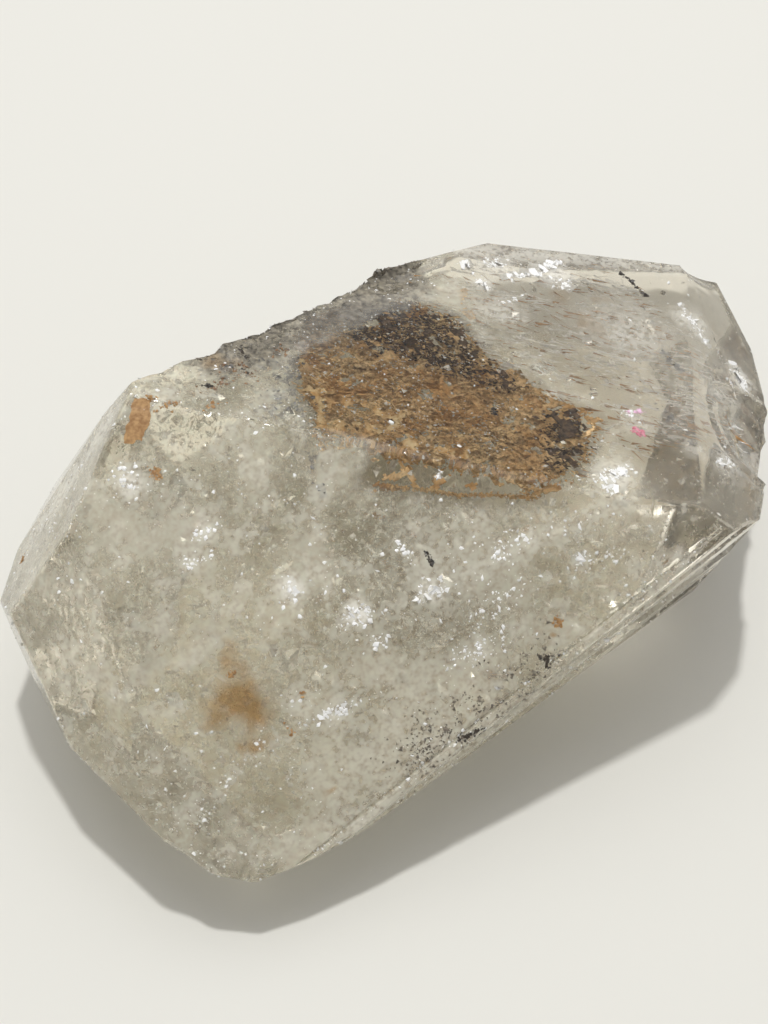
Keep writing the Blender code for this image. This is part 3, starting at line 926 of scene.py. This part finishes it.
def to_surface(points, below):
    """Nearest places on the crystal's surface, this far below it, and the way they face."""
    bpy.context.view_layer.update()
    body = bpy.context.scene.objects["quartz_crystal"]
    hits = [body.closest_point_on_mesh(Vector(point))[1:3] for point in points]
    places, looks = (np.array([hit[side] for hit in hits]) for side in (0, 1))
    return places - looks * below, looks


def speckle(name, rng, lumps, size, material, thickness=0.4, below=0.0, gaps=-0.12):
    """Grains set into the surface in loose lumps: place, reach and count of each."""
    points = np.concatenate([np.array(place) + rng.normal(size=(count, 3)) * reach * 0.5
                             for place, reach, count in lumps]) * MM
    points = points[clouds(points, 0.45 * MM, 2) > gaps]
    sizes = size * np.minimum(rng.lognormal(-0.1, 0.65, len(points)), 2.6)
    points, looks = to_surface(points, below * MM)
    normals = unit_rows(looks + rng.normal(size=looks.shape) * 0.35)
    piece = flake_mesh(name, points - looks * (sizes * 0.06)[:, None], normals, sizes, rng,
                       thickness=thickness, sides=5)
    finish_piece(piece, material)


def surface_patch(name, corners, material):
    """Thin glossy stain on a face, from its corners in millimetres."""
    mesh = bpy.data.meshes.new(name)
    mesh.from_pydata([Vector(corner) * MM for corner in corners], [], [range(len(corners))])
    piece = bpy.data.objects.new(name, mesh)
    bpy.context.scene.collection.objects.link(piece)
    make_active(piece)
    bpy.ops.object.mode_set(mode="EDIT")
    bpy.ops.mesh.select_all(action="SELECT")
    bpy.ops.mesh.subdivide(number_cuts=PATCH_CUTS)
    bpy.ops.mesh.quads_convert_to_tris()
    bpy.ops.object.mode_set(mode="OBJECT")
    points = points_of(piece)
    inner, looks = to_surface(points, -PATCH_LIFT)
    ragged = 0.16 * MM * np.column_stack([clouds(points, 0.5 * MM, 3, shift)
                                          for shift in (2.0, 4.0, 8.0)])
    ragged -= looks * (ragged * looks).sum(axis=1)[:, None]
    piece.data.vertices.foreach_set("co", (inner + ragged).ravel())
    piece.data.update()
    wall = piece.modifiers.new("wall", "SOLIDIFY")
    wall.thickness = PATCH_THICKNESS
    wall.offset = 0.0
    bpy.ops.object.modifier_apply(modifier="wall")
    finish_piece(piece, material)


class CRYSTAL_OT_specks(bpy.types.Operator):
    """Add the specks, glints, crest grit and the streaks of the clear end"""

    bl_idname = "crystal.specks"
    bl_label = "Specks and streaks"

    def execute(self, context):
        rng = np.random.default_rng(SEED + 3)
        dark = two_tone("black specks", (0.014, 0.011, 0.009), (0.06, 0.045, 0.03), 0.4)
        brown = two_tone("ochre specks", (0.30, 0.15, 0.05), (0.52, 0.31, 0.13), 0.5)
        white = two_tone("white specks", (0.92, 0.91, 0.88), (1.0, 1.0, 1.0), 0.2)
        clay = two_tone("crest clay", (0.085, 0.073, 0.058), (0.24, 0.205, 0.16), 0.45)
        grey = two_tone("grey specks", (0.12, 0.105, 0.085), (0.30, 0.27, 0.22), 0.4)
        blue = two_tone("slate specks", (0.10, 0.096, 0.09), (0.27, 0.262, 0.25), 0.35)
        umber = two_tone("umber specks", (0.13, 0.07, 0.035), (0.32, 0.19, 0.10), 0.45)
        pink = two_tone("pink glint", (0.86, 0.50, 0.72), (0.98, 0.75, 0.90), 0.2)
        red = two_tone("red glint", (0.60, 0.16, 0.22), (0.80, 0.38, 0.46), 0.2)
        surface_patch("ochre_block", OCHRE_BLOCK, brown)
        speckle("black_specks", rng, DARK_SPECKS, 0.15 * MM, dark, gaps=-1.0)
        speckle("grey_blue_specks", rng, GREY_SPECKS, 0.15 * MM, blue, 0.15, 0.03)
        speckle("ochre_specks", rng, BROWN_SPECKS, 0.12 * MM, brown)
        speckle("umber_specks", rng, UMBER_SPECKS, 0.13 * MM, umber)
        speckle("white_specks", rng, WHITE_SPECKS_AND_HIGHLIGHTS, 0.14 * MM, white)
        speckle("bright_plates", rng, HIGHLIGHTS, 0.46 * MM, white, 0.08)
        speckle("pink_glint", rng, PINK_SPECKS, 0.16 * MM, pink)
        speckle("red_glint", rng, RED_SPECKS, 0.14 * MM, red)
        body = context.scene.objects["quartz_crystal"]
        crest = np.empty(len(body.data.vertices))
        body.data.attributes["crest"].data.foreach_get("value", crest)
        skin, looks = points_of(body), normals_of(body)
        # The crest sparkles are white chips that stand as painted glints on the crest
        for name, count, size, material in (("crest_clay", 420, 0.22, clay),
                                            ("crest_grit", 800, 0.13, grey),
                                            ("crest_sparkles", 420, 0.11, white)):
            lumps = crest * np.clip(clouds(skin, 0.9 * MM, 3, size * 90.0) + 0.1, 0.0, 1.0)
            chosen = rng.choice(len(skin), count, replace=False, p=lumps / lumps.sum())
            sizes = size * MM * np.minimum(rng.lognormal(0.0, 0.6, count), 2.2)
            points = skin[chosen] - looks[chosen] * (sizes * 0.10)[:, None]
            normals = unit_rows(looks[chosen] + rng.normal(size=(count, 3)) * 0.15)
            finish_piece(flake_mesh(name, points, normals, sizes, rng, thickness=0.24, sides=5),
                         material)
        start, end = (np.array(place) for place in GREY_BAND)
        points = start + (end - start) * rng.uniform(size=(BAND_GRAINS, 1))
        points, looks = to_surface(points + rng.normal(size=points.shape) * BAND_WIDTH, 0.0)
        keep = clouds(points, 0.7 * MM, 3) > -0.05
        points, looks = points[keep], looks[keep]
        normals = unit_rows(looks + rng.normal(size=looks.shape) * 0.4)
        sizes = BAND_GRAIN_SIZE * np.minimum(rng.lognormal(0.0, 0.5, len(points)), 2.6)
        finish_piece(flake_mesh("grey_specks", points, normals, sizes, rng, thickness=0.3), clay)
        for name, count, size, material in (("white_streaks", 1600, 0.13, white),
                                            ("brown_streaks", 650, 0.13, brown)):
            points = rng.uniform((4.5, -7.0, 9.0), (17.5, 10.5, 15.0), (count * 12, 3)) * MM
            rows = points.copy()
            rows -= np.outer(points @ np.array(STREAK_WAY), np.array(STREAK_WAY)) * 0.8
            shift = 2.0 if name == "white_streaks" else 11.0
            keep = (clouds(rows, 1.5 * MM, 3, shift) > 0.1) & (depths(points) > 0.3 * MM)
            keep &= (depths(points) < 3.0 * MM) & (over_stain(points, 0.2 * MM) < 0.5)
            points = points[keep][:count]
            normals = loose_normals(rng, len(points), (0.2, -0.3, 1.6))
            sizes = size * MM * rng.lognormal(0.0, 0.4, len(points))
            finish_piece(flake_mesh(name, points, normals, sizes, rng, along=STREAK_WAY,
                                    stretch=6.0, thickness=0.2), material)
        return {"FINISHED"}


# Stage

CAMERA_TURN = math.radians(-31.0)
CAMERA_PITCH = math.radians(54.0)
CAMERA_DISTANCE = 93.0 * MM
CAMERA_LENS = 60.0
CAMERA_SENSOR = 36.0
CAMERA_TARGET = Vector((-2.861, -0.154, 9.0)) * MM
KEY_TURN = math.radians(150.0)
KEY_PITCH = math.radians(78.0)
KEY_DISTANCE = 0.5
KEY_SIZE = 0.028
FILL_DISTANCE = 0.8
FILL_SIZE = 0.8
FILL_PITCH = math.radians(65.0)
FLOOR_SIZE = 3.0
FLOOR_LEVEL = -0.02 * MM


def heading(turn, pitch):
    """Unit vector towards a turn from the front (-Y) and a height above the horizon."""
    level = math.cos(pitch)
    return Vector((math.sin(turn) * level, -math.cos(turn) * level, math.sin(pitch)))


def floor_material(settings):
    """Plain matt floor."""
    recipe = Recipe("pale floor")
    recipe.set(base_color=(*settings.floor_colour, 1.0), roughness=0.7)
    return recipe.material


def add_light(name, turn, pitch, distance, size, power):
    """Round soft light that faces the crystal."""
    way = heading(turn, pitch)
    deselect_all()
    bpy.ops.object.light_add(type="AREA", location=CAMERA_TARGET + way * distance)
    light = bpy.context.object
    light.name = name
    light.rotation_euler = way.to_track_quat("Z", "Y").to_euler()
    light.data.shape = "DISK"
    light.data.size = size
    light.data.energy = power


class CRYSTAL_OT_stage(bpy.types.Operator):
    """Floor, lights and camera"""

    bl_idname = "crystal.stage"
    bl_label = "Stage"

    def execute(self, context):
        settings = context.scene.crystal_stage
        deselect_all()
        bpy.ops.mesh.primitive_plane_add(size=FLOOR_SIZE, location=(0.0, 0.0, FLOOR_LEVEL))
        floor = context.object
        floor.name = "floor"
        bpy.ops.object.transform_apply()
        floor.data.materials.append(floor_material(settings))
        world = bpy.data.worlds.new("studio")
        context.scene.world = world
        world.use_nodes = True
        background = world.node_tree.nodes["Background"]
        background.inputs["Color"].default_value = (1.0, 0.99, 0.97, 1.0)
        background.inputs["Strength"].default_value = settings.sky_strength
        add_light("key light", KEY_TURN, KEY_PITCH, KEY_DISTANCE, KEY_SIZE, settings.key_power)
        add_light("fill light", KEY_TURN, FILL_PITCH, FILL_DISTANCE, FILL_SIZE, settings.fill_power)
        view_way = heading(CAMERA_TURN, CAMERA_PITCH)
        bpy.ops.object.camera_add(location=CAMERA_TARGET + view_way * CAMERA_DISTANCE)
        camera = context.object
        camera.rotation_euler = view_way.to_track_quat("Z", "Y").to_euler()
        camera.data.lens = CAMERA_LENS
        camera.data.sensor_width = CAMERA_SENSOR
        camera.data.clip_start = 0.005
        context.scene.camera = camera
        context.scene.view_settings.view_transform = "Standard"
        light_paths = context.scene.cycles
        light_paths.max_bounces = 8
        light_paths.transmission_bounces = 8
        light_paths.glossy_bounces = 4
        light_paths.diffuse_bounces = 3
        return {"FINISHED"}


class CRYSTAL_PT_panel(bpy.types.Panel):
    """Sidebar panel with the crystal's settings and the buttons that build it"""

    bl_label = "Crystal"
    bl_space_type = "VIEW_3D"
    bl_region_type = "UI"
    bl_category = "Crystal"

    def draw(self, context):
        for group, kind in SETTINGS.items():
            box = self.layout.box()
            for name in kind.__annotations__:
                box.prop(getattr(context.scene, group), name)
        for operator in OPERATORS:
            self.layout.operator(operator.bl_idname)


SETTINGS = {"crystal_body": BodySettings, "crystal_inclusions": InclusionSettings,
            "crystal_stage": StageSettings}
OPERATORS = (CRYSTAL_OT_body, CRYSTAL_OT_veils, CRYSTAL_OT_sparkles, CRYSTAL_OT_iron_stain,
             CRYSTAL_OT_specks, CRYSTAL_OT_stage)
CLASSES = (*OPERATORS, CRYSTAL_PT_panel)


def register():
    for name, group in SETTINGS.items():
        bpy.utils.register_class(group)
        setattr(bpy.types.Scene, name, bpy.props.PointerProperty(type=group))
    for kind in CLASSES:
        bpy.utils.register_class(kind)


def unregister():
    for kind in reversed(CLASSES):
        bpy.utils.unregister_class(kind)
    for name, group in SETTINGS.items():
        delattr(bpy.types.Scene, name)
        bpy.utils.unregister_class(group)


def main():
    register()
    bpy.ops.crystal.body()
    bpy.ops.crystal.veils()
    bpy.ops.crystal.sparkles()
    bpy.ops.crystal.iron_stain()
    bpy.ops.crystal.specks()
    bpy.ops.crystal.stage()


if __name__ == "__main__":
    main()
